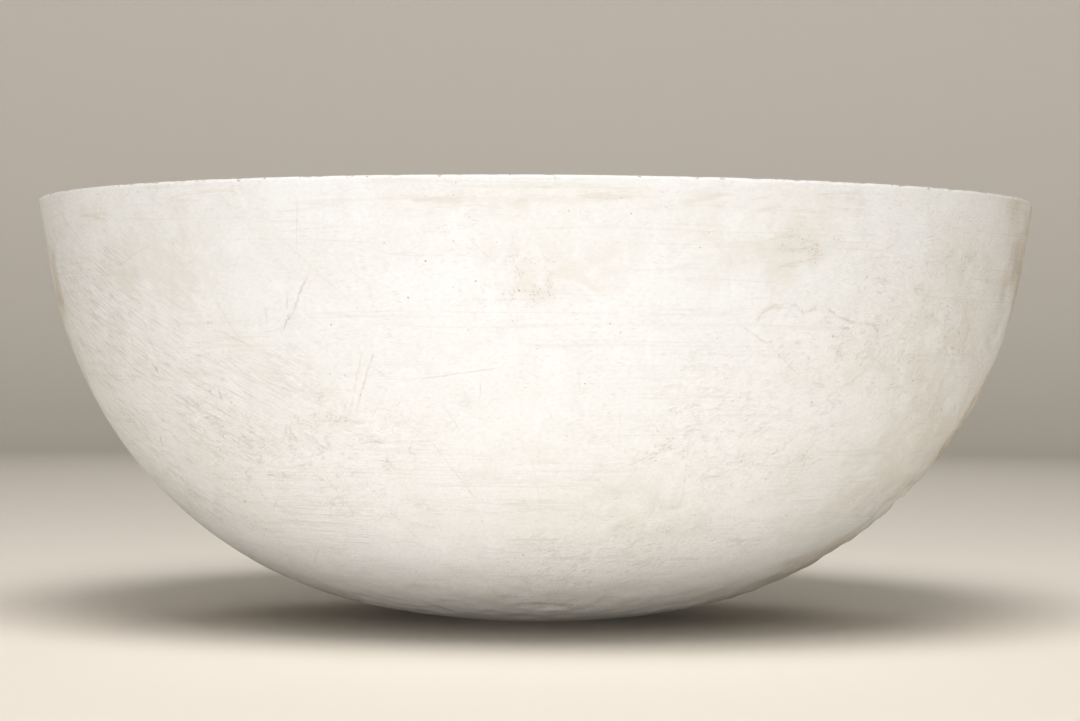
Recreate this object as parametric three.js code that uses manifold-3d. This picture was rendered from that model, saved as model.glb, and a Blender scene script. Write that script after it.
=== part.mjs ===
// Plaster bowl mold: an open bowl, rim up, cast in two coats over a form that has the inside
// shape. The face coat is what clay is worked against. Burlap scrim and a cage of galvanised wire
// are bedded between it and the thick outer coat, which is scraped to shape on the outside.
// Millimetres, +Z up. The origin is the middle of the flat that the bowl stands on.

import * as THREE from 'three';
import { mergeVertices } from 'three/addons/utils/BufferGeometryUtils.js';
import Module from 'manifold-3d';

const { degToRad, smoothstep } = THREE.MathUtils;
const wasm = await Module();
wasm.setup();

// Outside shape: a leaning skirt under the rim, a round shoulder and a flatter crown
const RIM_RADIUS = 250;
const SKIRT_LEAN = degToRad(10);
const SKIRT_LENGTH = 37.5;
const SHOULDER_RADIUS = 204;
const CROWN_SLOPE = degToRad(12.3);
const BASE_RADIUS = 40;
const ARRIS = 0.8;
const INNER_ARRIS = 2;

// Layers of the wall, as depths below the outside face, measured square to it
const GAP = 0.3;
const WALL = 30;
const FACE_COAT = 9;
const SCRIM = 1.5;
const FACE_DEPTH = WALL - FACE_COAT;
const GORE_DEPTH = FACE_DEPTH - GAP - SCRIM;
const PATCH_DEPTH = GORE_DEPTH - GAP - SCRIM;

// Scrim
const GORES = 8;
const SCRIM_BELOW_RIM = 10;
const STRIP_WIDTH = 60;
const PATCH_RADIUS = 82;
const GORE_TIP = 12;

// Wire cage: two hoops, two ribs that cross under the crown, and a tie at each crossing
const WIRE = 4;
const TIE_WIRE = 1.2;
const TIE_LOOP = 5.2;
const TIE_TAIL = 9;
const TAIL_WIDTH = 1.8;
const HOOP_DEPTH = PATCH_DEPTH - WIRE;
const RIB_DEPTH = HOOP_DEPTH - WIRE - GAP;
const RIM_HOOP_BELOW_RIM = 30;
const GIRTH_SLOPE = degToRad(45);
const RIB_END_BELOW_RIM = 18;
const DIP_FROM = 15;
const DIP_TO = 70;
const BED_OPEN_DEPTH = GORE_DEPTH + SCRIM / 2;

// Facets
const ROUND_STEPS = 40;
const SHOULDER_STEPS = 8;
const WIRE_SIDES = 8;
const RIB_STEPS = 36;
const TIE_STEPS = 12;
const TIE_SIDES = 6;

const PLASTER = { color: 0xece6dc, roughness: 0.9, metalness: 0 };
const FACE_PLASTER = { color: 0xf1ece3, roughness: 0.8, metalness: 0 };
const BURLAP = { color: 0xb99c6b, roughness: 1, metalness: 0 };
const GALVANISED = { color: 0x9a9d9f, roughness: 0.5, metalness: 0.9 };

// Where the outside face changes curve, as a radius and a drop below the rim
const skirtEnd = {
  radius: RIM_RADIUS - SKIRT_LENGTH * Math.sin(SKIRT_LEAN),
  drop: SKIRT_LENGTH * Math.cos(SKIRT_LEAN),
};
const shoulderCentre = {
  radius: skirtEnd.radius - SHOULDER_RADIUS * Math.cos(SKIRT_LEAN),
  drop: skirtEnd.drop - SHOULDER_RADIUS * Math.sin(SKIRT_LEAN),
};
const crownEnd = {
  radius: shoulderCentre.radius + SHOULDER_RADIUS * Math.sin(CROWN_SLOPE),
  drop: shoulderCentre.drop + SHOULDER_RADIUS * Math.cos(CROWN_SLOPE),
};
const CROWN_RADIUS = crownEnd.radius / Math.sin(CROWN_SLOPE);
const crownCentreDrop = crownEnd.drop - CROWN_RADIUS * Math.cos(CROWN_SLOPE);
const HEIGHT = crownCentreDrop + Math.sqrt(CROWN_RADIUS ** 2 - BASE_RADIUS ** 2);

// A place on the wall is its run, the distance along the outside face from the crown's middle
const CROWN_RUN = CROWN_RADIUS * CROWN_SLOPE;
const SHOULDER_RUN = CROWN_RUN + SHOULDER_RADIUS * (Math.PI / 2 - SKIRT_LEAN - CROWN_SLOPE);
const RIM_RUN = SHOULDER_RUN + SKIRT_LENGTH;
const BASE_RUN = CROWN_RADIUS * Math.asin(BASE_RADIUS / CROWN_RADIUS);
const GIRTH_RUN = CROWN_RUN + SHOULDER_RADIUS * (GIRTH_SLOPE - CROWN_SLOPE);
const RIM_HOOP_RUN = RIM_RUN - RIM_HOOP_BELOW_RIM;
const SCRIM_RUN = RIM_RUN - SCRIM_BELOW_RIM;
const STRIP_RUN = SCRIM_RUN - STRIP_WIDTH;
const RIB_RUN = RIM_RUN - RIB_END_BELOW_RIM;
const PATCH_RUN = CROWN_RADIUS * Math.asin(PATCH_RADIUS / CROWN_RADIUS);

// Every layer has a ring of corners at the same runs, so that neighbours stay parallel
const stations = [GORE_TIP, BASE_RUN, PATCH_RUN, STRIP_RUN, SCRIM_RUN];
for (let i = 0; i <= SHOULDER_STEPS; i += 1) {
  stations.push(CROWN_RUN + ((SHOULDER_RUN - CROWN_RUN) * i) / SHOULDER_STEPS);
}
stations.sort((a, b) => a - b);

// How far the wall leans from level at a run: 0 at the crown's middle
function slopeAt(run) {
  if (run < CROWN_RUN) return run / CROWN_RADIUS;
  return Math.min(CROWN_SLOPE + (run - CROWN_RUN) / SHOULDER_RADIUS, Math.PI / 2 - SKIRT_LEAN);
}

// The point at a run and a depth, as radius and height
function wallPoint(run, depth) {
  const slope = slopeAt(run);
  if (run < CROWN_RUN) {
    const reach = CROWN_RADIUS - depth;
    const centreHeight = HEIGHT - crownCentreDrop;
    return new THREE.Vector2(reach * Math.sin(slope), centreHeight - reach * Math.cos(slope));
  }
  const reach = SHOULDER_RADIUS - depth;
  const up = Math.max(0, run - SHOULDER_RUN);
  return new THREE.Vector2(
    shoulderCentre.radius + reach * Math.sin(slope) + up * Math.cos(slope),
    HEIGHT - shoulderCentre.drop - reach * Math.cos(slope) + up * Math.sin(slope),
  );
}

// The run at which a layer at this depth meets the plane of the rim
function rimRun(depth) {
  return RIM_RUN - depth * Math.tan(SKIRT_LEAN);
}

function wallLine(depth, from, to) {
  const between = stations.filter((run) => run > from && run < to);
  return [from, ...between, to].map((run) => wallPoint(run, depth));
}

// Turns an outline of radius and height about the upright axis
function turned(outline) {
  return new THREE.LatheGeometry(outline, ROUND_STEPS).rotateX(Math.PI / 2);
}

// A layer of the wall between two depths and two runs
function layer(outerDepth, innerDepth, from, to) {
  const outline = [...wallLine(outerDepth, from, to), ...wallLine(innerDepth, from, to).reverse()];
  if (from > 0) outline.push(outline[0].clone());
  return turned(outline);
}

function toSolid(geometry) {
  const bare = geometry.clone();
  bare.deleteAttribute('normal');
  bare.deleteAttribute('uv');
  const merged = mergeVertices(bare, 1e-4);
  return new wasm.Manifold(new wasm.Mesh({
    numProp: 3,
    vertProperties: merged.attributes.position.array,
    triVerts: merged.index.array,
  }));
}

function toGeometry(solid) {
  const { vertProperties, triVerts } = solid.getMesh();
  const geometry = new THREE.BufferGeometry();
  geometry.setAttribute('position', new THREE.BufferAttribute(vertProperties, 3));
  geometry.setIndex(new THREE.BufferAttribute(triVerts, 1));
  geometry.computeVertexNormals();
  return geometry;
}

const mold = new THREE.Group();

function addPiece(parent, name, geometry, look) {
  const mesh = new THREE.Mesh(geometry, new THREE.MeshStandardMaterial(look));
  mesh.name = name;
  parent.add(mesh);
  return mesh;
}

// The under rib dips by one wire where it passes beneath the other at the crown
function ribDepth(run, dips) {
  const dip = dips ? 1 - smoothstep(Math.abs(run), DIP_FROM, DIP_TO) : 0;
  return RIB_DEPTH + (HOOP_DEPTH - RIB_DEPTH) * dip;
}

// Points along a rib in its own upright plane, from one end over the crown to the other
function ribLine(dips, lift, end) {
  const line = [];
  for (let i = 0; i <= RIB_STEPS; i += 1) {
    const run = end * ((2 * i) / RIB_STEPS - 1);
    const point = wallPoint(Math.abs(run), ribDepth(run, dips) - lift);
    line.push(new THREE.Vector2(Math.sign(run) * point.x, point.y));
  }
  return line;
}

function ribWire(dips) {
  const line = ribLine(dips, 0, RIB_RUN);
  const path = new THREE.CatmullRomCurve3(line.map((p) => new THREE.Vector3(p.x, 0, p.y)));
  const section = new THREE.Shape();
  for (let i = 0; i < WIRE_SIDES; i += 1) {
    const turn = (2 * Math.PI * i) / WIRE_SIDES;
    const x = (WIRE / 2) * Math.cos(turn);
    const y = (WIRE / 2) * Math.sin(turn);
    if (i === 0) section.moveTo(x, y);
    else section.lineTo(x, y);
  }
  section.closePath();
  return new THREE.ExtrudeGeometry(section, { steps: RIB_STEPS, extrudePath: path });
}

// The bed that a rib lies in: a slot in the outer coat, open towards the scrim
function ribBed(dips, turn) {
  const lift = WIRE / 2 + GAP;
  const end = RIB_RUN + GAP;
  const open = wallLine(BED_OPEN_DEPTH, 0, end);
  const mirrored = open.slice(1).map((p) => new THREE.Vector2(-p.x, p.y));
  const outline = [...ribLine(dips, lift, end), ...open.reverse(), ...mirrored];
  const bed = new THREE.ExtrudeGeometry(new THREE.Shape(outline), {
    depth: 2 * lift,
    bevelEnabled: false,
  });
  return bed.translate(0, 0, -lift).rotateX(Math.PI / 2).rotateZ(turn);
}

// A hoop is a ring of round wire lying level inside the wall
function hoopWire(run) {
  const centre = wallPoint(run, HOOP_DEPTH);
  const outline = [];
  for (let i = 0; i <= WIRE_SIDES; i += 1) {
    const turn = (2 * Math.PI * i) / WIRE_SIDES;
    outline.push(new THREE.Vector2(
      centre.x + (WIRE / 2) * Math.cos(turn),
      centre.y + (WIRE / 2) * Math.sin(turn),
    ));
  }
  return turned(outline);
}

function hoopBed(run) {
  const lift = WIRE / 2 + GAP;
  return layer(HOOP_DEPTH - lift, BED_OPEN_DEPTH, run - lift, run + lift);
}

// A tie is a loop of thin wire round a crossing, slantwise, with its ends twisted into a tail.
// In its own frame X is the slant, Z points out of the wall and the crossing is at the middle.
function tieWire() {
  const loop = new THREE.TorusGeometry(TIE_LOOP, TIE_WIRE / 2, TIE_SIDES, TIE_STEPS);
  const tail = new THREE.CylinderGeometry(TAIL_WIDTH / 2, TAIL_WIDTH / 2, TIE_TAIL, TIE_SIDES);
  loop.rotateX(Math.PI / 2);
  tail.rotateZ(Math.PI / 2).translate(TIE_TAIL / 2, 0, TIE_LOOP);
  return toGeometry(toSolid(loop).add(toSolid(tail)));
}

function tieBed(place) {
  const width = TAIL_WIDTH + 2 * GAP;
  const reach = TIE_LOOP + TIE_WIRE / 2 + GAP;
  const open = BED_OPEN_DEPTH - (HOOP_DEPTH + RIB_DEPTH) / 2;
  const loopSlot = new THREE.BoxGeometry(2 * reach, width, reach + open);
  const tailSlot = new THREE.BoxGeometry(TIE_TAIL + GAP, width, width);
  loopSlot.translate(0, 0, (reach - open) / 2);
  tailSlot.translate((TIE_TAIL + GAP) / 2, 0, TIE_LOOP);
  return toSolid(loopSlot).add(toSolid(tailSlot)).transform(place.elements);
}

// The frame of a crossing at a run along the wall and a turn about the axis
function crossingPlace(run, turn) {
  const slope = slopeAt(run);
  const point = wallPoint(run, (HOOP_DEPTH + RIB_DEPTH) / 2);
  const out = new THREE.Vector3(Math.sin(slope), 0, -Math.cos(slope));
  const along = new THREE.Vector3(Math.cos(slope), 0, Math.sin(slope));
  const slant = along.add(new THREE.Vector3(0, 1, 0)).normalize();
  const side = out.clone().cross(slant);
  const place = new THREE.Matrix4().makeBasis(slant, side, out);
  place.setPosition(point.x, 0, point.y);
  return new THREE.Matrix4().makeRotationZ(turn).multiply(place);
}

// The ribs cross each other once, and each hoop at every quarter turn
const crossings = [crossingPlace(0, 0)];
for (let quarter = 0; quarter < 4; quarter += 1) {
  const turn = (quarter * Math.PI) / 2;
  crossings.push(crossingPlace(GIRTH_RUN, turn), crossingPlace(RIM_HOOP_RUN, turn));
}

// Outer coat: the thick backing, with a flat struck on the crown for it to stand on. Inside it is
// stepped round the scrim and slotted where the wires lie.
const overPatch = PATCH_DEPTH - GAP;
const overGores = GORE_DEPTH - GAP;
const overFace = FACE_DEPTH - GAP;
const outsideLine = wallLine(0, BASE_RUN, RIM_RUN - ARRIS);
const coatOutline = [
  new THREE.Vector2(0, 0),
  ...outsideLine,
  new THREE.Vector2(RIM_RADIUS - ARRIS, HEIGHT),
  ...wallLine(overFace, SCRIM_RUN + GAP, rimRun(overFace)).reverse(),
  ...wallLine(overPatch, STRIP_RUN - GAP, SCRIM_RUN + GAP).reverse(),
  ...wallLine(overGores, PATCH_RUN + GAP, STRIP_RUN - GAP).reverse(),
  ...wallLine(overPatch, 0, PATCH_RUN + GAP).reverse(),
];
const beds = [
  toSolid(hoopBed(RIM_HOOP_RUN)),
  toSolid(hoopBed(GIRTH_RUN)),
  toSolid(ribBed(true, 0)),
  toSolid(ribBed(false, Math.PI / 2)),
  ...crossings.map(tieBed),
];
let outerCoat = toSolid(turned(coatOutline));
for (const bed of beds) {
  outerCoat = outerCoat.subtract(bed);
}
addPiece(mold, 'outer_coat', toGeometry(outerCoat), PLASTER);

// Face coat: fine plaster, with the working face on its inside
const innerRimRun = rimRun(WALL);
const innerRim = wallPoint(innerRimRun, WALL);
const faceOutline = [
  ...wallLine(FACE_DEPTH, 0, rimRun(FACE_DEPTH)),
  new THREE.Vector2(innerRim.x + INNER_ARRIS, HEIGHT),
  ...wallLine(WALL, 0, innerRimRun - INNER_ARRIS).reverse(),
];
addPiece(mold, 'face_coat', turned(faceOutline), FACE_PLASTER);

// Scrim: burlap gores side by side over the whole face coat, a round patch over their tips at
// the crown, and a strip that runs round under the rim
const scrim = new THREE.Group();
mold.add(scrim);
const goreLayer = toSolid(layer(GORE_DEPTH, GORE_DEPTH + SCRIM, GORE_TIP, SCRIM_RUN));
const goreAngle = (2 * Math.PI) / GORES;
for (let i = 0; i < GORES; i += 1) {
  const far = 2 * RIM_RADIUS;
  const tip = GAP / 2 / Math.sin(goreAngle / 2);
  const half = far * Math.tan(goreAngle / 2);
  const wedge = new THREE.Shape();
  wedge.moveTo(tip, 0);
  wedge.lineTo(tip + far, -half);
  wedge.lineTo(tip + far, half);
  wedge.closePath();
  const cutter = new THREE.ExtrudeGeometry(wedge, { depth: HEIGHT, bevelEnabled: false });
  cutter.rotateZ((i + 0.5) * goreAngle);
  addPiece(scrim, `scrim_gore_${i + 1}`, toGeometry(goreLayer.intersect(toSolid(cutter))), BURLAP);
}
const patchLayer = layer(PATCH_DEPTH, PATCH_DEPTH + SCRIM, 0, PATCH_RUN);
const stripLayer = layer(PATCH_DEPTH, PATCH_DEPTH + SCRIM, STRIP_RUN, SCRIM_RUN);
addPiece(scrim, 'scrim_crown_patch', patchLayer, BURLAP);
addPiece(scrim, 'scrim_rim_strip', stripLayer, BURLAP);

// Wire cage
const cage = new THREE.Group();
mold.add(cage);
addPiece(cage, 'rim_hoop', hoopWire(RIM_HOOP_RUN), GALVANISED);
addPiece(cage, 'girth_hoop', hoopWire(GIRTH_RUN), GALVANISED);
addPiece(cage, 'rib_wire_a', ribWire(true), GALVANISED);
const ribB = addPiece(cage, 'rib_wire_b', ribWire(false), GALVANISED);
ribB.rotation.z = Math.PI / 2;
crossings.forEach((place, i) => {
  const tie = addPiece(cage, `tie_wire_${i + 1}`, tieWire(), GALVANISED);
  tie.position.setFromMatrixPosition(place);
  tie.quaternion.setFromRotationMatrix(place);
});

export default mold;
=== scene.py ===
"""The looks of a plaster bowl mold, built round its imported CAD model. Metres, +Z up."""

import bmesh
import bpy
import math
import random
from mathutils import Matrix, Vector, kdtree, noise


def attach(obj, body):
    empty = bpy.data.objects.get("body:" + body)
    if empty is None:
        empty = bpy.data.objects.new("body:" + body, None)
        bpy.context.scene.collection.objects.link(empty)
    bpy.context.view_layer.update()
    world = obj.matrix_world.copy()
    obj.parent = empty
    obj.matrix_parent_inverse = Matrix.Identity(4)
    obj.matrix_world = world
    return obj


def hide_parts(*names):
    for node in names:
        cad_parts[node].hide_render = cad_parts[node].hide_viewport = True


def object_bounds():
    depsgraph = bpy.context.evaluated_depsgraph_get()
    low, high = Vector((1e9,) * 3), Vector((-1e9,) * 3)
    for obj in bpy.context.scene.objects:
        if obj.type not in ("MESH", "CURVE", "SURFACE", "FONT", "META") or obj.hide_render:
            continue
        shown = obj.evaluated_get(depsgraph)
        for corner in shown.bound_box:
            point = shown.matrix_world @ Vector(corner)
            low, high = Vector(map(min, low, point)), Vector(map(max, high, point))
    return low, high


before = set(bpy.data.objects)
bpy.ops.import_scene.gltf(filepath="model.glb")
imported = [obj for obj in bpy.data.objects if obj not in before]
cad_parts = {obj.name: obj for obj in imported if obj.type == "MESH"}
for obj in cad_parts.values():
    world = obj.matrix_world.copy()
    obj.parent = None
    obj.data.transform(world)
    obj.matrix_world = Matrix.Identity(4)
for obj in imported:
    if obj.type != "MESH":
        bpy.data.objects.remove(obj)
cad_low, cad_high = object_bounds()


# ---- The studio -------------------------------------------------------------------------------
# A plain pale floor that coves up into a low wall all round, so that no edge shows from any side.
# Soft boxes stand in front, overhead, at both sides and behind, and a level camera faces the mold.

floor_flat = 2.6
cove_radius = 1.0
cove_steps = 16
wall_top = 2.6
floor_tone = (0.58, 0.548, 0.500)


def smoothed(body, name):
    """Writes a finished bmesh into a new smooth-shaded object at the origin."""
    shape = bpy.data.meshes.new(name)
    body.to_mesh(shape)
    body.free()
    shape.polygons.foreach_set("use_smooth", [True] * len(shape.polygons))
    piece = bpy.data.objects.new(name, shape)
    bpy.context.scene.collection.objects.link(piece)
    return piece


def spin_outline(outline, steps):
    """Turns an outline about the upright axis. Each of its points is a radius, a height and a
    run: the distance along the wall, which every ring of the turned shape keeps."""
    body = bmesh.new()
    runs = body.verts.layers.float.new("run")
    corners = []
    for radius, height, run in outline:
        corner = body.verts.new((radius, 0.0, height))
        corner[runs] = run
        corners.append(corner)
    sides = [body.edges.new(pair) for pair in zip(corners, corners[1:])]
    bmesh.ops.spin(
        body, geom=corners + sides, cent=(0, 0, 0), axis=(0, 0, 1),
        angle=2 * math.pi, steps=steps, use_merge=True,
    )
    bmesh.ops.remove_doubles(body, verts=body.verts, dist=1e-6)
    bmesh.ops.recalc_face_normals(body, faces=body.faces)
    return body


cove = [(0.0, 0.0, 0.0), (floor_flat, 0.0, 0.0)]
for step in range(1, cove_steps + 1):
    turn = step / cove_steps * math.pi / 2
    out = floor_flat + cove_radius * math.sin(turn)
    cove.append((out, cove_radius * (1 - math.cos(turn)), 0.0))
cove.append((floor_flat + cove_radius, wall_top, 0.0))
floor_columns = 96
floor = smoothed(spin_outline(cove, floor_columns), "floor")

floor_paint = bpy.data.materials.new("floor_paint")
floor_paint.use_nodes = True
floor_shader = floor_paint.node_tree.nodes["Principled BSDF"]
floor_shader.inputs["Base Color"].default_value = (*floor_tone, 1.0)
floor_shader.inputs["Roughness"].default_value = 0.9
floor.data.materials.append(floor_paint)

skirt_lean = math.radians(10)
arris = 0.0008
rim_radius = cad_high.x + arris * math.sin(skirt_lean)
rim_height = cad_high.z

# The camera's place is given in rim radii. It stands level, a little below the rim and barely
# tipped to one side.
camera_aside = 0.0088
camera_away = 5.757
camera_below_rim = 0.314
camera_tip = math.radians(-0.30)
camera_data = bpy.data.cameras.new("camera")
camera_data.lens = 94.1
camera_data.sensor_width = 36.0
camera = bpy.data.objects.new("camera", camera_data)
camera.location = (
    camera_aside * rim_radius, -camera_away * rim_radius, rim_height - camera_below_rim * rim_radius
)
camera.rotation_euler = (math.radians(90), camera_tip, 0.0)
bpy.context.scene.collection.objects.link(camera)
bpy.context.scene.camera = camera

aim = Vector((0.0, 0.0, 0.12))


def soft_box(name, around, lift, distance, size, power, tint):
    """A round soft box that faces the mold: around is its bearing to the right of the camera's,
    in degrees."""
    lamp = bpy.data.lights.new(name, "AREA")
    lamp.shape = "DISK"
    lamp.size = size
    lamp.energy = power
    lamp.color = tint
    bearing = math.radians(around)
    rise = math.radians(lift)
    towards = Vector((
        math.sin(bearing) * math.cos(rise), -math.cos(bearing) * math.cos(rise), math.sin(rise)
    ))
    stand = bpy.data.objects.new(name, lamp)
    stand.location = aim + towards * distance
    stand.rotation_euler = (-towards).to_track_quat("-Z", "Y").to_euler()
    bpy.context.scene.collection.objects.link(stand)
    return stand


front_box = soft_box("front_box", -4, 0, 2.2, 0.36, 29.5, (0.905, 0.945, 1.0))
soft_box("top_box", 0, 75, 2.0, 0.9, 13.0, (1.0, 0.985, 0.97))
soft_box("left_box", -50, 50, 2.0, 0.9, 4.5, (1.0, 0.97, 0.91))
soft_box("right_box", 42, 45, 2.0, 0.9, 5.0, (1.0, 0.97, 0.91))
soft_box("back_box", 180, 32, 2.4, 0.9, 8.0, (1.0, 0.97, 0.93))

# These two lights are kept off the mold: one lights the floor, the other the wall behind it. The
# second casts no shadow, because the wall behind the camera would stop it.
swept = bpy.data.collections.new("swept")
swept.objects.link(floor)
floor_box = soft_box("floor_box", 0, 62, 2.0, 1.3, 35.0, (1.0, 0.965, 0.92))
floor_box.light_linking.receiver_collection = swept
sweep_lamp = bpy.data.lights.new("sweep_light", "SUN")
sweep_lamp.energy = 1.25
sweep_lamp.use_shadow = False
sweep_lamp.color = (1.0, 0.98, 0.95)
sweep_light = bpy.data.objects.new("sweep_light", sweep_lamp)
sweep_light.rotation_euler = (math.radians(86), 0.0, 0.0)
bpy.context.scene.collection.objects.link(sweep_light)
sweep_light.light_linking.receiver_collection = swept

# The front box stands so low that it would burn out the floor before it, so it is kept off the floor
unlit_floor = bpy.data.collections.new("unlit_floor")
unlit_floor.objects.link(floor)
unlit_floor.collection_objects[0].light_linking.link_state = "EXCLUDE"
front_box.light_linking.receiver_collection = unlit_floor

air = bpy.data.worlds.new("air")
air.use_nodes = True
sky = air.node_tree.nodes["Background"]
sky.inputs["Color"].default_value = (1.0, 0.95, 0.89, 1.0)
sky.inputs["Strength"].default_value = 0.15
bpy.context.scene.world = air
bpy.context.scene.view_settings.view_transform = "Standard"


# ---- Outer coat -------------------------------------------------------------------------------
# The thick backing coat of pottery plaster. It is thrown on over the scrim, turned and scraped
# to shape on the outside, struck level at the rim and given a flat to stand on under the crown.

skirt_length = 0.0375
shoulder_radius = 0.204
crown_slope = math.radians(12.3)
base_radius = 0.040
joint_depth = 0.0207
coat_columns = 576
coat_rows = 134
hidden_rows = 12

skirt_end = (rim_radius - skirt_length * math.sin(skirt_lean), skirt_length * math.cos(skirt_lean))
shoulder_centre = (
    skirt_end[0] - shoulder_radius * math.cos(skirt_lean),
    skirt_end[1] - shoulder_radius * math.sin(skirt_lean),
)
crown_end = (
    shoulder_centre[0] + shoulder_radius * math.sin(crown_slope),
    shoulder_centre[1] + shoulder_radius * math.cos(crown_slope),
)
crown_radius = crown_end[0] / math.sin(crown_slope)
crown_centre_drop = crown_end[1] - crown_radius * math.cos(crown_slope)
crown_run = crown_radius * crown_slope
shoulder_run = crown_run + shoulder_radius * (math.pi / 2 - skirt_lean - crown_slope)
rim_run = shoulder_run + skirt_length
base_run = crown_radius * math.asin(base_radius / crown_radius)
degree = math.radians(1) * rim_radius


def slope_at(run):
    """How far the wall leans from level at a run, the distance up it from the crown's middle."""
    if run < crown_run:
        return run / crown_radius
    return min(crown_slope + (run - crown_run) / shoulder_radius, math.pi / 2 - skirt_lean)


def wall_point(run, depth):
    """The radius and height at a run up the wall and a depth below its outside face."""
    slope = slope_at(run)
    if run < crown_run:
        reach = crown_radius - depth
        return reach * math.sin(slope), rim_height - crown_centre_drop - reach * math.cos(slope)
    reach = shoulder_radius - depth
    up = max(0.0, run - shoulder_run)
    return (
        shoulder_centre[0] + reach * math.sin(slope) + up * math.cos(slope),
        rim_height - shoulder_centre[1] - reach * math.cos(slope) + up * math.sin(slope),
    )


def wall_line(depth, start, end, steps):
    """Evenly spaced points up the wall at one depth."""
    runs = [start + (end - start) * i / steps for i in range(steps + 1)]
    return [(*wall_point(run, depth), run) for run in runs]


def around_of(point):
    """The bearing of a point in degrees: 0 in front, positive to the right, 180 behind."""
    return math.degrees(math.atan2(point[0], -point[1]))


def bell(value, middle, half_width):
    """1 in the middle, falling smoothly to 0 at half_width to either side."""
    share = min(1.0, abs(value - middle) / half_width)
    return (1 - share * share) ** 2


def land_line(outer, inner):
    """The level ring of the rim between two radii, with its rows close together at the edges."""
    rows = [0.0, 0.02, 0.06, 0.13, 0.25, 0.5, 0.75, 1.0]
    reach = [outer + (inner - outer) * row for row in rows]
    return [(radius, rim_height, rim_run + rim_radius - radius) for radius in reach]


def lay_wall_map(body):
    """Gives the piece a map in metres: across is round the rim, up is the run up the wall. Its
    seam is at the back."""
    runs = body.verts.layers.float["run"]
    wall = body.loops.layers.uv.new("wall")
    for face in body.faces:
        bearings = [around_of(loop.vert.co) for loop in face.loops]
        wraps = max(bearings) - min(bearings) > 180
        for loop, bearing in zip(face.loops, bearings):
            if wraps and bearing < 0:
                bearing += 360
            loop[wall].uv = (bearing * degree, loop.vert[runs])


# How far the marks of shaping stand out from the true face or are cut into it
long_wave = 0.00030
short_wave = 0.00012
torn_height = 0.0010
ledge_depth = 0.0040
rough_set_back = 0.0006
ragged_height = 0.00042
chip_depth = 0.0022


def scraped(point, around, run):
    """How far the scraped face stands out from true at a point: long waves all over, lumps and
    torn ledges down the right-hand side, where it was left rough, and chips low down."""
    out = long_wave * noise.noise(point / 0.10) + short_wave * noise.noise(point / 0.022)
    rough = bell(around, 84, 40) * bell(run, 0.24, 0.19)
    if rough > 0:
        torn = noise.noise(Vector((around * degree / 0.034, run / 0.0065, 3.1)))
        ledge = noise.noise(Vector((point.x, point.y, point.z * 2.2)) / 0.03)
        out += rough * (torn_height * torn - ledge_depth * max(0.0, ledge - 0.12) - rough_set_back)
    low = bell(run, 0.105, 0.060)
    if low > 0:
        ragged = noise.noise(point / 0.0075)
        chip = noise.noise(point / 0.016 + Vector((1.3, 8.2, 0.0)))
        out += low * (ragged_height * ragged - chip_depth * max(0.0, chip - 0.24))
    return out


def patches(around, run, places, uneven):
    """1 within any of a set of ragged ovals on the wall, fading to 0 outside. Each place is a
    bearing, a run in millimetres, and half its width in degrees and height in millimetres."""
    best = 0.0
    for middle, height, half_width, half_height in places:
        aside = (around - middle + 180) % 360 - 180
        reach = math.hypot(aside / half_width, (run * 1000 - height) / half_height)
        best = max(best, 1 - reach + uneven)
    return min(1.0, best * 1.6)


coat_outline = [(base_radius * i / 4, 0.0, base_run * i / 4) for i in range(4)]
coat_outline += wall_line(0.0, base_run, rim_run - arris, coat_rows)
for step in range(1, 4):
    turn = step / 4 * math.pi / 2
    coat_outline.append((
        rim_radius - arris * (1 - math.cos(turn)) - arris * math.sin(skirt_lean) * (1 - step / 4),
        rim_height - arris * (1 - math.sin(turn)),
        rim_run - arris * (1 - step / 4),
    ))
joint_run = rim_run - joint_depth * math.tan(skirt_lean)
joint_radius = wall_point(joint_run, joint_depth)[0]
coat_outline += land_line(rim_radius - arris, joint_radius)
coat_outline += wall_line(joint_depth, 0.0, joint_run, hidden_rows)[-2::-1]

# Where each kind of wear, and the painted shade at the outline, lies on the wall. A place is a bearing
# in degrees, a run in millimetres, and half its width in degrees and half its height in millimetres.
wear_and_shade_places = {
    "combed": [
        (-58, 292, 26, 70), (-62, 236, 24, 70), (-40, 262, 16, 40), (152, 285, 32, 75),
    ],
    "wormy": [
        (48, 290, 34, 80), (26, 245, 28, 50), (14, 172, 32, 50), (-30, 232, 28, 52),
        (-150, 280, 40, 80), (100, 220, 30, 90), (-100, 210, 30, 60),
    ],
    "warm": [
        (53, 292, 18, 52), (60, 235, 24, 56), (24, 334, 14, 20), (-120, 250, 28, 66),
        (2, 330, 7, 26), (-42, 330, 12, 26), (14, 205, 16, 26),
    ],
    # The grimy places are brown grime and painted shade together, at the left and right outline where the
    # wall turns from the light
    "grime_and_outline_shade": [
        (82, 338, 17, 50), (84, 250, 16, 70), (74, 150, 24, 40), (-88, 150, 20, 50),
        (178, 190, 30, 60), (-87, 300, 14, 110),
    ],
    "specked": [
        (0.0, 314, 2.6, 7), (0.3, 327, 3.4, 8), (-4, 312, 3, 9), (-10, 341, 2.5, 5),
        (15, 240, 3, 9), (30, 338, 5, 9), (-60, 205, 10, 20), (-24, 262, 4, 9),
        (110, 240, 30, 60), (-140, 300, 24, 40),
    ],
    "nibbed": [(58, 235, 14, 50), (8, 108, 30, 30), (80, 215, 14, 60), (71, 300, 9, 54)],
    "skimmed": [(31, 292, 9.5, 24)],
    "smeared": [
        (-11, 353, 6, 10), (5, 357, 9, 7), (28, 356, 15, 7), (27, 333, 8, 14), (-55, 352, 6, 8),
        (120, 350, 30, 12), (-150, 345, 20, 10),
    ],
}

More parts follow.
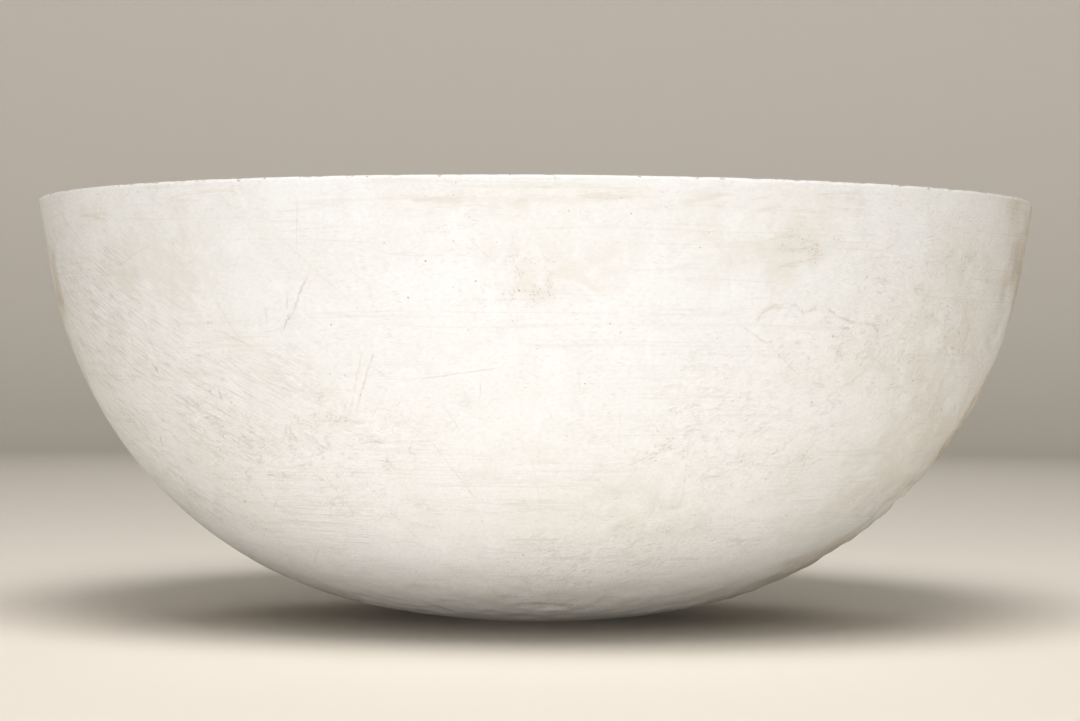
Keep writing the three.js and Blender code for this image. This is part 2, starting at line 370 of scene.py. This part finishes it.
coat_body = spin_outline(coat_outline, coat_columns)
lay_wall_map(coat_body)
scratch_sets = 4
set_names = [f"scratch_{i + 1}" for i in range(scratch_sets)] + ["gouge"]
kept_names = list(wear_and_shade_places) + [name + part for name in set_names for part in ("_across", "_hold")]
for name in kept_names:
    coat_body.verts.layers.float.new(name)
kept_layers = coat_body.verts.layers.float
run_layer = kept_layers["run"]
worn_corner = 86
outside_verts = []
for vert in coat_body.verts:
    run = vert[run_layer]
    radius = math.hypot(vert.co.x, vert.co.y)
    outside = base_run * 1.02 < run < rim_run - 1e-5 and radius > wall_point(run, joint_depth / 2)[0]
    on_land = vert.co.z > rim_height - arris - 1e-5 and radius > joint_radius - 1e-5
    if not (outside or on_land):
        continue
    around = around_of(vert.co)
    across = Vector((vert.co.x, vert.co.y, 0.0)).normalized()
    if outside:
        outside_verts.append(vert)
        uneven = 0.55 * noise.fractal(vert.co / 0.03, 0.9, 2.2, 3)
        for name, places in wear_and_shade_places.items():
            vert[kept_layers[name]] = max(0.0, patches(around, run, places, uneven))
        slope = slope_at(run)
        face_out = across * math.sin(slope) - Vector((0.0, 0.0, math.cos(slope)))
        proud = scraped(vert.co, around, run) * min(1.0, (run - base_run) / 0.006)
        vert.co += face_out * proud
    # The rim's edge is nicked here and there, and worn right down at one side
    from_edge = abs(run - rim_run)
    if from_edge < 0.010:
        edge = max(0.0, 1 - from_edge / 0.0035)
        nick = max(0.0, noise.noise(Vector((around * 1.3, 5.1, 0.7))) - 0.30) * 0.0026
        nick += max(0.0, noise.noise(Vector((around * 0.35, 1.7, 9.2))) - 0.25) * 0.0012
        worn = 0.0030 * bell(around, worn_corner, 15) * (1 - from_edge / 0.010) ** 2
        vert.co -= across * (nick * edge * 0.6 + worn * 0.35)
        vert.co.z -= nick * edge + worn
    if on_land:
        vert.co.z -= 0.00015 * (0.5 + 0.5 * noise.noise(vert.co / 0.05))

# Each scratch is a start and an end, as bearings in degrees and runs in millimetres, then its
# width in millimetres and how strongly it shows.
known_scratches = [
    (-24.0, 322, -26.2, 306, 1.1, 0.5), (-26.2, 306, -27.9, 298, 1.0, 0.5),
    (-26.6, 315, -26.8, 307, 1.0, 0.4), (-29.6, 309, -29.5, 301, 0.9, 0.3),
    (-31.0, 296, -27.5, 299, 0.8, 0.3), (-36.5, 298, -32.2, 290, 0.8, 0.35),
    (-17.4, 288, -20.6, 260, 0.9, 0.36), (-18.8, 287, -21.4, 259, 1.0, 0.30),
    (-18.0, 281, -15.9, 275, 0.8, 0.25), (-5.9, 275, -6.1, 266, 0.8, 0.3),
    (22.0, 301, 25.8, 292, 0.7, 0.4), (25.8, 292, 31.2, 276, 0.6, 0.35),
    (-16.0, 257, -12.3, 245, 0.6, 0.2), (-12.3, 245, -7.7, 211, 0.6, 0.25),
    (-28.5, 268, -30.5, 246, 0.8, 0.2), (-27.5, 261, -25.5, 260, 0.8, 0.25),
]
known_gouges = [
    (-49.1, 280, -48.5, 276, 1.3, 0.8), (-38.9, 269, -39.1, 265, 1.2, 0.7),
    (-55.6, 243, -56.4, 239, 1.2, 0.6), (-46.5, 282, -46.0, 281, 1.3, 0.6),
    (64.5, 262, 65.1, 258, 1.3, 0.6), (67.5, 262, 68.0, 259, 1.3, 0.6),
]
clear_space = 9.0


def wall_mm(around, run):
    """A place on the wall in millimetres round and up it."""
    return Vector((around * degree * 1000, run, 0.0))


def draw_scratches(count, longest, seed):
    """Scratches of handling, in loose groups that lie the same way."""
    draw = random.Random(seed)
    scratches = []
    while len(scratches) < count:
        around = draw.uniform(-180, 180)
        run = draw.uniform(70, 350)
        lean = draw.choice((20, 35, 155, 100)) + draw.uniform(-18, 18)
        for i in range(draw.choice((1, 1, 2, 3))):
            length = longest * draw.uniform(0.1, 1.0) ** 3 + 3
            start = wall_mm(around, run) + Vector((draw.uniform(-14, 14), draw.uniform(-14, 14), 0))
            angle = math.radians(lean + draw.uniform(-6, 6))
            end = start + Vector((math.cos(angle), math.sin(angle), 0)) * length
            if not 50 < min(start.y, end.y) or max(start.y, end.y) > 358:
                continue
            scratches.append((
                start.x / degree / 1000, start.y, end.x / degree / 1000, end.y,
                draw.uniform(0.35, 0.65), draw.uniform(0.06, 0.30),
            ))
    return scratches


def lay_scratches(places, name, scratches):
    """Keeps with each corner of the mesh how far it lies across from the scratch beside it, in
    scratch widths, so that the finish can draw the scratch far finer than the mesh."""
    across_layer = kept_layers[name + "_across"]
    hold_layer = kept_layers[name + "_hold"]
    for vert in outside_verts:
        vert[across_layer] = 20.0
    for start_around, start_run, end_around, end_run, width, strength in scratches:
        start = wall_mm(start_around, start_run)
        reach = wall_mm(end_around, end_run) - start
        length = reach.length
        along_way = reach / length
        for place, index, gap in places.find_range(start + reach / 2, length / 2 + clear_space):
            away = place - start
            along = away.dot(along_way)
            across = along_way.x * away.y - along_way.y * away.x
            past = max(-along, along - length, 0.0)
            if math.hypot(across, past) > clear_space:
                continue
            vert = outside_verts[index]
            vert[across_layer] = across / width
            if abs(across) < 4.2:
                fade = min(1.0, max(0.0, 1 - past / 2.0)) * min(1.0, 0.35 + min(along, length - along) / 5)
                vert[hold_layer] = strength * max(0.0, fade)


places = kdtree.KDTree(len(outside_verts))
for index, vert in enumerate(outside_verts):
    places.insert(wall_mm(around_of(vert.co), vert[run_layer] * 1000), index)
places.balance()


def clear_of(scratch, others):
    """True where a scratch keeps its distance from every other of a set."""
    ends = [wall_mm(scratch[0], scratch[1]), wall_mm(scratch[2], scratch[3])]
    steps = [ends[0].lerp(ends[1], i / 6) for i in range(7)]
    for other in others:
        first = wall_mm(other[0], other[1])
        reach = wall_mm(other[2], other[3]) - first
        for step in steps:
            share = min(1.0, max(0.0, (step - first).dot(reach) / reach.length_squared))
            if (first + reach * share - step).length < clear_space * 1.3:
                return False
    return True


sorted_sets = [[] for i in range(scratch_sets)]
for scratch in known_scratches + draw_scratches(760, 44, 11):
    for group in sorted_sets:
        if clear_of(scratch, group):
            group.append(scratch)
            break
for index, group in enumerate(sorted_sets):
    lay_scratches(places, set_names[index], group)
lay_scratches(places, "gouge", known_gouges)

bmesh.ops.recalc_face_normals(coat_body, faces=coat_body.faces)
coat = smoothed(coat_body, "outer_coat_scraped")


class Finish:
    """A finish laid on in layers. It keeps the colour and the relief laid so far: paint adds to
    the colour and press to the relief, in millimetres."""

    def __init__(self, name, base):
        self.material = bpy.data.materials.new(name)
        self.material.use_nodes = True
        self.tree = self.material.node_tree
        self.shader = self.tree.nodes["Principled BSDF"]
        self.colour = base
        self.relief = 0.0

    def feed(self, socket, value):
        if isinstance(value, bpy.types.NodeSocket):
            self.tree.links.new(value, socket)
        elif socket.type == "RGBA":
            socket.default_value = (*value, 1.0)
        else:
            socket.default_value = value

    def add(self, kind, inputs, **settings):
        node = self.tree.nodes.new("ShaderNode" + kind)
        for name, value in settings.items():
            setattr(node, name, value)
        for name, value in inputs.items():
            self.feed(node.inputs[name], value)
        return node

    def place(self):
        return self.add("TexCoord", {}).outputs["Object"]

    def wall(self):
        return self.add("UVMap", {}, uv_map="wall").outputs["UV"]

    def kept(self, name):
        """A value kept with the mesh."""
        return self.add("Attribute", {}, attribute_name=name).outputs["Fac"]

    def sum_of(self, operation, first, second=0.0, third=0.0, clamp=False):
        inputs = {0: first, 1: second, 2: third}
        return self.add("Math", inputs, operation=operation, use_clamp=clamp).outputs[0]

    def grained(self, vector, size, turn=0.0, shift=(0.0, 0.0, 0.0)):
        """The vector measured in grains of the given size, lying at an angle in degrees."""
        node = self.add("Mapping", {
            "Vector": vector, "Location": shift, "Rotation": (0.0, 0.0, math.radians(turn)),
            "Scale": size,
        }, vector_type="TEXTURE")
        return node.outputs[0]

    def cloud(self, vector, size, detail=3.0, roughness=0.5, turn=0.0, shift=0.0, warp=0.0):
        """Soft noise from 0 to 1 with grains of the given size."""
        size = size if isinstance(size, tuple) else (size, size, size)
        node = self.add("TexNoise", {
            "Vector": self.grained(vector, size, turn, (shift, shift, 0.0)), "Scale": 1.0,
            "Detail": detail, "Roughness": roughness, "Distortion": warp,
        })
        return node.outputs[0]

    def fade(self, value, start, end, low=0.0, high=1.0):
        """Goes smoothly from low to high as the value goes from start to end."""
        node = self.add("MapRange", {
            "Value": value, "From Min": start, "From Max": end, "To Min": low, "To Max": high,
        }, interpolation_type="SMOOTHSTEP")
        return node.outputs[0]

    def both(self, *masks):
        result = masks[0]
        for mask in masks[1:]:
            result = self.sum_of("MULTIPLY", result, mask)
        return result

    def either(self, *masks):
        result = masks[0]
        for mask in masks[1:]:
            result = self.sum_of("MAXIMUM", result, mask)
        return result

    def paint(self, mask, over, amount=1.0):
        """Covers the colour so far with another where the mask is 1, as thickly as amount."""
        if amount != 1.0:
            mask = self.sum_of("MULTIPLY", mask, amount)
        node = self.add(
            "Mix", {0: mask, 6: self.colour, 7: over}, data_type="RGBA", clamp_factor=True
        )
        self.colour = node.outputs[2]

    def press(self, mask, height):
        """Raises the surface where the mask is 1, or sinks it where height is below 0."""
        self.relief = self.sum_of("MULTIPLY_ADD", mask, height, self.relief)

    def specks(self, vector, spacing, size, share, seed=0.0):
        """Small round dots: size is in spacings, and share is the part of the places filled."""
        node = self.add("TexVoronoi", {
            "Vector": self.grained(vector, (spacing,) * 3, 0.0, (seed, seed, seed)), "Scale": 1.0,
        })
        draw = self.add("SeparateColor", {0: node.outputs["Color"]})
        chosen = self.sum_of("LESS_THAN", draw.outputs[0], share)
        return self.both(self.fade(node.outputs["Distance"], size, size * 0.5), chosen)

    def flecks(self, vector, size, fineness, share, turn, seed):
        """Short scratches that all lie one way: thin ovals, one to a long thin place."""
        node = self.add("TexVoronoi", {
            "Vector": self.grained(vector, (*size, 1.0), turn, (seed, seed, 0.0)), "Scale": 1.0,
        }, voronoi_dimensions="2D")
        draw = self.add("SeparateColor", {0: node.outputs["Color"]})
        chosen = self.sum_of("LESS_THAN", draw.outputs[0], share)
        return self.both(self.fade(node.outputs["Distance"], fineness, fineness * 0.5), chosen)

    def scratch_set(self, name, wobble):
        """The scratches that were laid on the mesh under this name, with their lines unsteadied."""
        aside = self.sum_of("ABSOLUTE", self.sum_of("ADD", self.kept(name + "_across"), wobble))
        return self.both(self.fade(aside, 0.70, 0.25), self.kept(name + "_hold"))

    def finish(self, roughness, specular):
        bump = self.add("Bump", {"Height": self.relief, "Distance": 0.001, "Strength": 1.0})
        self.feed(self.shader.inputs["Base Color"], self.colour)
        self.feed(self.shader.inputs["Roughness"], roughness)
        self.feed(self.shader.inputs["Normal"], bump.outputs[0])
        self.shader.inputs["Specular IOR Level"].default_value = specular
        return self.material


plaster_white = (0.826, 0.820, 0.802)
plaster_warm = (0.742, 0.702, 0.636)
plaster_grey = (0.635, 0.608, 0.572)
chalk_white = (0.900, 0.890, 0.870)
clay_brown = (0.330, 0.235, 0.160)
clay_tan = (0.590, 0.515, 0.410)
crown_shade_colour = (0.715, 0.655, 0.565)

mix = Finish("scraped_plaster", plaster_white)
place = mix.place()
wall = mix.wall()
up = mix.kept("run")

# Mottling: broad drying marks, smaller blotches, and the fine tooth and grain of the set plaster
broad = mix.cloud(place, 0.060, 4.0, 0.6, warp=0.6)
mix.paint(mix.fade(broad, 0.45, 0.65), plaster_warm, 0.26)
blotch = mix.cloud(place, 0.014, 5.0, 0.65, warp=0.8)
mix.paint(mix.fade(blotch, 0.50, 0.66), plaster_warm, 0.22)
mix.paint(mix.fade(blotch, 0.46, 0.34), chalk_white, 0.30)
mix.press(blotch, 0.35)
tooth = mix.cloud(wall, (0.0024, 0.0013, 1.0), 3.0, 0.6, turn=8, warp=0.4)
mix.paint(mix.fade(tooth, 0.52, 0.64), plaster_grey, 0.15)
mix.paint(mix.fade(tooth, 0.48, 0.36), chalk_white, 0.25)
mix.press(tooth, 0.26)

# Turning: fine level lines, broken along their length, strongest low down, and a few longer ones
lines = mix.fade(mix.cloud(wall, (0.045, 0.0012, 1.0), 3.0, 0.6, warp=0.2), 0.52, 0.62)
bands = mix.fade(mix.cloud(wall, (0.110, 0.018, 1.0), 2.0, 0.5, shift=2.0), 0.42, 0.58)
turning = mix.both(lines, bands, mix.fade(up, 0.33, 0.16, 0.25, 1.0))
mix.paint(turning, plaster_grey, 0.20)
mix.press(turning, -0.08)
level = mix.cloud(wall, (0.300, 0.0060, 1.0), 1.0, 0.5, shift=3.3)
level_line = mix.fade(mix.sum_of("ABSOLUTE", mix.sum_of("SUBTRACT", level, 0.5)), 0.020, 0.004)
level_line = mix.both(level_line, mix.fade(bands, 0.3, 0.8))
mix.paint(level_line, clay_tan, 0.14)
mix.press(level_line, -0.06)

# Scraping: grey strokes left by a toothed scraper that was drawn down and to the right
comb_zone = mix.kept("combed")
mix.paint(comb_zone, plaster_grey, 0.10)
comb_rows = mix.fade(mix.cloud(wall, (0.034, 0.0050, 1.0), 4.0, 0.70, turn=-27), 0.42, 0.58)
combed = mix.cloud(wall, (0.013, 0.00095, 1.0), 2.0, 0.5, turn=-27, warp=0.3)
combing = mix.both(mix.fade(combed, 0.50, 0.63), comb_rows, comb_zone)
mix.paint(combing, plaster_grey, 0.68)
mix.press(combing, -0.12)
combed_fine = mix.fade(mix.cloud(wall, (0.009, 0.0007, 1.0), 1.0, 0.5, turn=-31, shift=1.0), 0.52, 0.64)
mix.paint(mix.both(combed_fine, comb_zone), plaster_grey, 0.42)
combed_light = mix.fade(mix.cloud(wall, (0.010, 0.0008, 1.0), 1.0, 0.5, turn=-24, shift=0.5), 0.56, 0.66)
mix.paint(mix.both(combed_light, comb_zone), chalk_white, 0.70)

# Handling: small scratches in patches, and the longer ones that were laid on the mesh
busy = mix.cloud(wall, 0.050, 3.0, 0.6, shift=0.4)
flecks = mix.either(
    mix.both(mix.flecks(wall, (0.014, 0.0028), 0.10, 0.6, 24, 0.2), mix.fade(busy, 0.48, 0.60)),
    mix.both(mix.flecks(wall, (0.010, 0.0032), 0.09, 0.5, 74, 0.5), mix.fade(busy, 0.50, 0.40)),
    mix.both(mix.flecks(wall, (0.022, 0.0032), 0.09, 0.6, -12, 0.8), mix.fade(busy, 0.42, 0.56)),
)
mix.paint(flecks, clay_tan, 0.30)
mix.press(flecks, -0.07)
wobble = mix.sum_of("MULTIPLY_ADD", mix.cloud(wall, 0.0035, 2.0, 0.6, shift=0.7), 2.4, -1.2)
rubbed = mix.fade(mix.cloud(wall, 0.0045, 3.0, 0.7, shift=0.9), 0.38, 0.56, 0.25, 1.0)
scratches = mix.either(*[mix.scratch_set(name, wobble) for name in set_names[:-1]])
scratches = mix.both(scratches, rubbed)
mix.paint(scratches, clay_tan)
mix.press(scratches, -0.35)
gouges = mix.scratch_set("gouge", wobble)
mix.paint(gouges, clay_brown, 0.75)
mix.press(gouges, -0.45)

# Trails: fine cracks and wormy ridges of skim plaster
wormy = mix.kept("wormy")
worm_field = mix.cloud(wall, (0.011, 0.0060, 1.0), 4.0, 0.6, turn=18, warp=1.2)
worm_line = mix.fade(mix.sum_of("ABSOLUTE", mix.sum_of("SUBTRACT", worm_field, 0.5)), 0.024, 0.006)
worm_break = mix.cloud(wall, 0.009, 3.0, 0.6, shift=0.5)
worms = mix.both(worm_line, mix.fade(worm_break, 0.46, 0.58), wormy)
mix.paint(worms, clay_tan, 0.22)
mix.press(worms, -0.11)
wrinkles = mix.cloud(wall, (0.0052, 0.0026, 1.0), 3.0, 0.6, turn=14, warp=1.0)
mix.paint(mix.both(mix.fade(wrinkles, 0.52, 0.60), wormy), plaster_warm, 0.20)
mix.paint(mix.both(mix.fade(wrinkles, 0.46, 0.38), wormy), chalk_white, 0.22)
mix.press(mix.both(wrinkles, wormy), 0.26)

# Skim: a thin raised patch of later plaster, whose upper edge shows as a broken tan line
skim = mix.kept("skimmed")
mix.paint(mix.fade(skim, 0.2, 0.5), chalk_white, 0.12)
skim_edge = mix.both(mix.fade(skim, 0.14, 0.22), mix.fade(skim, 0.34, 0.26), mix.fade(up, 0.296, 0.302))
mix.paint(mix.both(skim_edge, mix.fade(worm_break, 0.44, 0.54)), clay_tan, 0.34)
mix.press(mix.fade(skim, 0.1, 0.4), 0.30)

# Stains: warm blotches, smears of slip under the rim, grime where the mold was handled mixed with
# painted shade at the left and right outline, and painted shade that darkens the wall towards the crown
mix.paint(mix.both(mix.kept("warm"), mix.fade(blotch, 0.38, 0.60, 0.25, 1.0)), plaster_warm, 0.62)
smear = mix.fade(mix.cloud(wall, (0.026, 0.0045, 1.0), 4.0, 0.65, turn=4, warp=0.7), 0.48, 0.62)
mix.paint(mix.both(smear, mix.kept("smeared")), clay_tan, 0.36)
mix.paint(mix.kept("smeared"), plaster_warm, 0.20)
# Grime and painted shade: clay tan darkens the outline at both sides, where the wall turns from the light
mix.paint(mix.both(mix.kept("grime_and_outline_shade"), mix.fade(blotch, 0.35, 0.60, 0.6, 1.0)), clay_tan, 0.78)
# Painted shade: the wall is darkened towards the crown in clay colours, standing in for the shade under
# the bowl
mix.paint(mix.both(mix.fade(up, 0.175, 0.105), mix.fade(blotch, 0.35, 0.6, 0.6, 1.0)), crown_shade_colour, 0.70)
mix.paint(mix.both(mix.fade(up, 0.100, 0.078), mix.fade(blotch, 0.35, 0.6, 0.6, 1.0)), clay_tan, 0.50)

# Clay specks, pinholes and raised nibs
speck_field = mix.both(mix.kept("specked"), mix.fade(worm_break, 0.40, 0.56))
clay_specks = mix.both(mix.flecks(wall, (0.0016, 0.0012), 0.34, 0.45, 20, 0.6), speck_field)
mix.paint(speck_field, clay_tan, 0.10)
mix.paint(clay_specks, clay_brown, 0.30)
lone_specks = mix.specks(place, 0.010, 0.048, 0.60, 0.53)
mix.paint(lone_specks, clay_brown, 0.60)
pinholes = mix.specks(place, 0.0060, 0.065, 0.40, 0.27)
mix.paint(pinholes, clay_tan, 0.55)
mix.press(mix.either(mix.both(clay_specks, 0.4), lone_specks, pinholes), -0.30)
nibs = mix.both(mix.flecks(wall, (0.007, 0.0035), 0.20, 0.35, 62, 0.3), mix.kept("nibbed"))
mix.paint(nibs, chalk_white, 0.8)
mix.press(nibs, 0.35)

# Edge: the rim's arris is painted chalky white, partly rubbed plaster and partly a painted highlight of
# the light from above, with brown in its nicks
on_edge = mix.fade(mix.sum_of("ABSOLUTE", mix.sum_of("SUBTRACT", up, rim_run)), 0.0017, 0.0007)
edge_break = mix.cloud(wall, (0.006, 0.002, 1.0), 3.0, 0.7)
mix.paint(mix.both(on_edge, mix.fade(edge_break, 0.35, 0.5)), chalk_white)
mix.paint(mix.both(on_edge, mix.fade(edge_break, 0.60, 0.68)), clay_brown, 0.6)
coat.data.materials.append(mix.finish(0.88, 0.25))

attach(coat, "root")
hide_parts("outer_coat")


# ---- Face coat --------------------------------------------------------------------------------
# The thin inner coat of fine pottery plaster, cast first against the model. Clay is worked on its
# smooth inside. Its rim is struck level with the outer coat's, with a hairline joint between.

face_depth = 0.021
wall_thickness = 0.030
inner_arris = 0.002
face_columns = 480
face_rows = 130
land_start = wall_point(rim_run - face_depth * math.tan(skirt_lean), face_depth)[0]
inside_run = rim_run - wall_thickness * math.tan(skirt_lean)
inside_radius = wall_point(inside_run, wall_thickness)[0]

face_outline = wall_line(face_depth, 0.0, rim_run - face_depth * math.tan(skirt_lean), hidden_rows)
face_outline[-1] = (land_start, rim_height, rim_run + rim_radius - land_start)
face_outline += land_line(land_start, inside_radius + inner_arris)[1:]
arris_start = face_outline[-1]
arris_end = wall_point(inside_run - inner_arris, wall_thickness)
corner = (inside_radius, rim_height)
for step in range(1, 5):
    t = step / 5
    weights = ((1 - t) ** 2, 2 * t * (1 - t), t * t)
    face_outline.append(tuple(
        weights[0] * arris_start[i] + weights[1] * corner[i] + weights[2] * arris_end[i]
        for i in range(2)
    ) + (arris_start[2] + inner_arris * t,))
face_outline += wall_line(wall_thickness, 0.0, inside_run - inner_arris, face_rows)[::-1]

face_body = spin_outline(face_outline, face_columns)
lay_wall_map(face_body)
inside_layer = face_body.verts.layers.float.new("inside")
worked_layer = face_body.verts.layers.float.new("worked")
run_layer = face_body.verts.layers.float["run"]
for vert in face_body.verts:
    run = vert[run_layer]
    radius = math.hypot(vert.co.x, vert.co.y)
    on_land = vert.co.z > rim_height - 1e-5
    on_inside = run < inside_run and radius < wall_point(run, (face_depth + wall_thickness) / 2)[0]
    on_inside = on_inside or (radius < inside_radius + inner_arris and not on_land and run > inside_run)
    around = around_of(vert.co)
    if on_inside:
        vert[inside_layer] = 1.0
        uneven = 0.5 * noise.fractal(vert.co / 0.04, 0.9, 2.2, 3)
        vert[worked_layer] = max(0.0, min(1.0, 1.3 - abs(run - 0.20) / 0.11 + uneven))
        across = Vector((vert.co.x, vert.co.y, 0.0))
        across = across.normalized() if radius > 1e-6 else Vector((0.0, 0.0, 0.0))
        slope = slope_at(run)
        face_in = Vector((0.0, 0.0, math.cos(slope))) - across * math.sin(slope)
        vert.co += face_in * 0.00012 * noise.noise(vert.co / 0.07)
    from_arris = math.hypot(radius - inside_radius - inner_arris / 2, vert.co.z - rim_height)
    edge = max(0.0, 1 - from_arris / 0.005)
    if edge > 0 and (on_land or on_inside):
        nick = max(0.0, noise.noise(Vector((around * 0.9, 3.3, 4.1))) - 0.32) * 0.004
        vert.co.z -= nick * edge
    if on_land:
        vert.co.z -= 0.00012 * (0.5 + 0.5 * noise.noise(vert.co / 0.05))
bmesh.ops.recalc_face_normals(face_body, faces=face_body.faces)
face_coat = smoothed(face_body, "face_coat_smooth")

face_white = (0.740, 0.722, 0.690)
face_damp = (0.560, 0.520, 0.462)
clay_grey = (0.430, 0.385, 0.325)

mix = Finish("fine_plaster", face_white)
place = mix.place()
wall = mix.wall()
inside = mix.kept("inside")
worked = mix.kept("worked")
broad = mix.cloud(place, 0.070, 4.0, 0.6, warp=0.6)
mix.paint(mix.both(mix.fade(broad, 0.42, 0.62), inside), face_damp, 0.55)
blotch = mix.cloud(place, 0.016, 5.0, 0.65, warp=0.8)
mix.paint(mix.fade(blotch, 0.48, 0.66), plaster_warm, 0.50)
mix.press(blotch, 0.10)
# The model was turned, so its rings are cast into the face, and clay stays in the hollows
rings = mix.fade(mix.cloud(wall, (0.400, 0.0022, 1.0), 2.0, 0.5), 0.48, 0.62)
mix.paint(mix.both(rings, inside), face_damp, 0.45)
mix.press(mix.both(rings, inside), -0.05)
film = mix.fade(mix.cloud(wall, (0.060, 0.011, 1.0), 5.0, 0.66, turn=4, warp=0.8), 0.42, 0.62)
mix.paint(mix.both(film, worked), clay_grey, 0.42)
tide = mix.fade(mix.sum_of("ABSOLUTE", mix.sum_of("SUBTRACT", worked, 0.5)), 0.14, 0.02)
mix.paint(mix.both(tide, mix.fade(blotch, 0.40, 0.55)), clay_grey, 0.30)
wipes = mix.fade(mix.cloud(wall, (0.030, 0.0012, 1.0), 3.0, 0.6, turn=3, shift=0.6), 0.52, 0.64)
mix.paint(mix.both(wipes, inside), face_white, 0.45)
# The land is scraped level with a straight edge
land = mix.fade(inside, 0.6, 0.0)
drag = mix.fade(mix.cloud(wall, (0.030, 0.0011, 1.0), 3.0, 0.6, turn=2, shift=0.2), 0.48, 0.60)
mix.paint(mix.both(drag, land), plaster_grey, 0.45)
mix.press(mix.both(drag, land), -0.08)
grain = mix.cloud(place, 0.0012, 2.0, 0.6)
mix.paint(mix.fade(grain, 0.50, 0.62), face_damp, 0.20)
mix.press(grain, 0.03)
pinholes = mix.specks(place, 0.0110, 0.050, 0.35, 0.41)
mix.paint(pinholes, clay_brown, 0.60)
mix.press(pinholes, -0.30)
face_coat.data.materials.append(mix.finish(0.72, 0.30))

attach(face_coat, "root")
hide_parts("face_coat")


# ---- Scrim ------------------------------------------------------------------------------------
# Coarse jute burlap dipped in plaster and laid on the face coat while that was green: eight gores,
# a round patch over their tips, and a strip round under the rim. Each is laid to its own bearing.

jute = (0.340, 0.225, 0.120)
jute_light = (0.560, 0.430, 0.270)
thread_pitch = 0.0026
gore_count = 8


def burlap(name, bearing, wound):
    """Plain-weave jute with plaster in its holes. Its threads run along a bearing, in degrees, or
    for a wound strip, round the bowl."""
    mix = Finish(name, jute)
    place = mix.place()
    turned = mix.grained(place, (1.0, 1.0, 1.0), bearing)
    axes = mix.add("SeparateXYZ", {0: turned})
    if wound:
        turn = mix.sum_of("ARCTAN2", axes.outputs[1], axes.outputs[0])
        across = mix.sum_of("MULTIPLY", turn, rim_radius)
        along = axes.outputs[2]
    else:
        across = axes.outputs[1]
        along = mix.sum_of("MULTIPLY", mix.sum_of("ADD", axes.outputs[0], axes.outputs[2]), 0.8)
    sway = mix.cloud(place, 0.009, 2.0, 0.5)
    turns = 2 * math.pi / thread_pitch
    warp = mix.sum_of("SINE", mix.sum_of("MULTIPLY_ADD", across, turns, mix.sum_of("MULTIPLY", sway, 3.0)))
    weft = mix.sum_of("SINE", mix.sum_of("MULTIPLY_ADD", along, turns, mix.sum_of("MULTIPLY", sway, 3.6)))
    over = mix.sum_of("MULTIPLY", warp, weft)
    threads = mix.either(mix.fade(warp, -0.3, 0.8), mix.fade(weft, -0.3, 0.8))
    fuzz = mix.cloud(place, 0.0007, 3.0, 0.7)
    mix.paint(mix.fade(over, -0.6, 0.8), jute_light, 0.70)
    mix.paint(mix.fade(fuzz, 0.48, 0.62), jute, 0.55)
    mix.paint(mix.fade(threads, 0.5, 0.1), plaster_white, 0.85)
    soaked = mix.cloud(place, 0.020, 4.0, 0.65)
    mix.paint(mix.fade(soaked, 0.46, 0.60), plaster_white, 0.75)
    mix.press(threads, 0.60)
    mix.press(over, 0.15)
    mix.press(fuzz, 0.12)
    return mix.finish(0.95, 0.15)


def dress(node, material):
    """Gives a CAD node's object a better material in each of its slots."""
    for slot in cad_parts[node].material_slots:
        slot.material = material


for number in range(1, gore_count + 1):
    bearing = (number - 0.5) * 360 / gore_count
    dress(f"scrim_gore_{number}", burlap(f"burlap_gore_{number}", bearing, False))
dress("scrim_crown_patch", burlap("burlap_patch", 12, False))
dress("scrim_rim_strip", burlap("burlap_strip", 0, True))


# ---- Wire cage --------------------------------------------------------------------------------
# Two hoops and two bent ribs of 4 mm galvanised wire, tied with soft wire wherever they cross.
# The zinc has dulled in the wet plaster, with a little rust at the cut ends and the ties.

zinc = (0.520, 0.530, 0.540)
zinc_dark = (0.300, 0.310, 0.325)
rust = (0.290, 0.130, 0.060)


def galvanised(name, spangle, rusted):
    """Dull zinc with a spangle of the given size; rusted is how much of it has gone to rust."""
    mix = Finish(name, zinc)
    place = mix.place()
    crystals = mix.add("TexVoronoi", {"Vector": mix.grained(place, (spangle,) * 3), "Scale": 1.0})
    draw = mix.add("SeparateColor", {0: crystals.outputs["Color"]})
    mix.paint(mix.fade(draw.outputs[0], 0.2, 0.9), zinc_dark, 0.55)
    bloom = mix.cloud(place, 0.006, 4.0, 0.65)
    mix.paint(mix.fade(bloom, 0.50, 0.66), plaster_grey, 0.45)
    spots = mix.fade(mix.cloud(place, 0.010, 5.0, 0.7, shift=0.6), 0.66 - rusted * 0.3, 0.70)
    mix.paint(spots, rust, 0.85)
    mix.press(spots, 0.05)
    mix.press(mix.cloud(place, 0.0009, 2.0, 0.6), 0.05)
    material = mix.finish(mix.fade(draw.outputs[1], 0.0, 1.0, 0.34, 0.55), 0.5)
    mix.feed(mix.shader.inputs["Metallic"], mix.fade(spots, 0.0, 0.6, 0.9, 0.05))
    return material


cage_zinc = galvanised("galvanised_cage", 0.0024, 0.25)
tie_zinc = galvanised("galvanised_ties", 0.0012, 0.45)
for node in ("rim_hoop", "girth_hoop", "rib_wire_a", "rib_wire_b"):
    dress(node, cage_zinc)
tie_count = 9
for number in range(1, tie_count + 1):
    dress(f"tie_wire_{number}", tie_zinc)
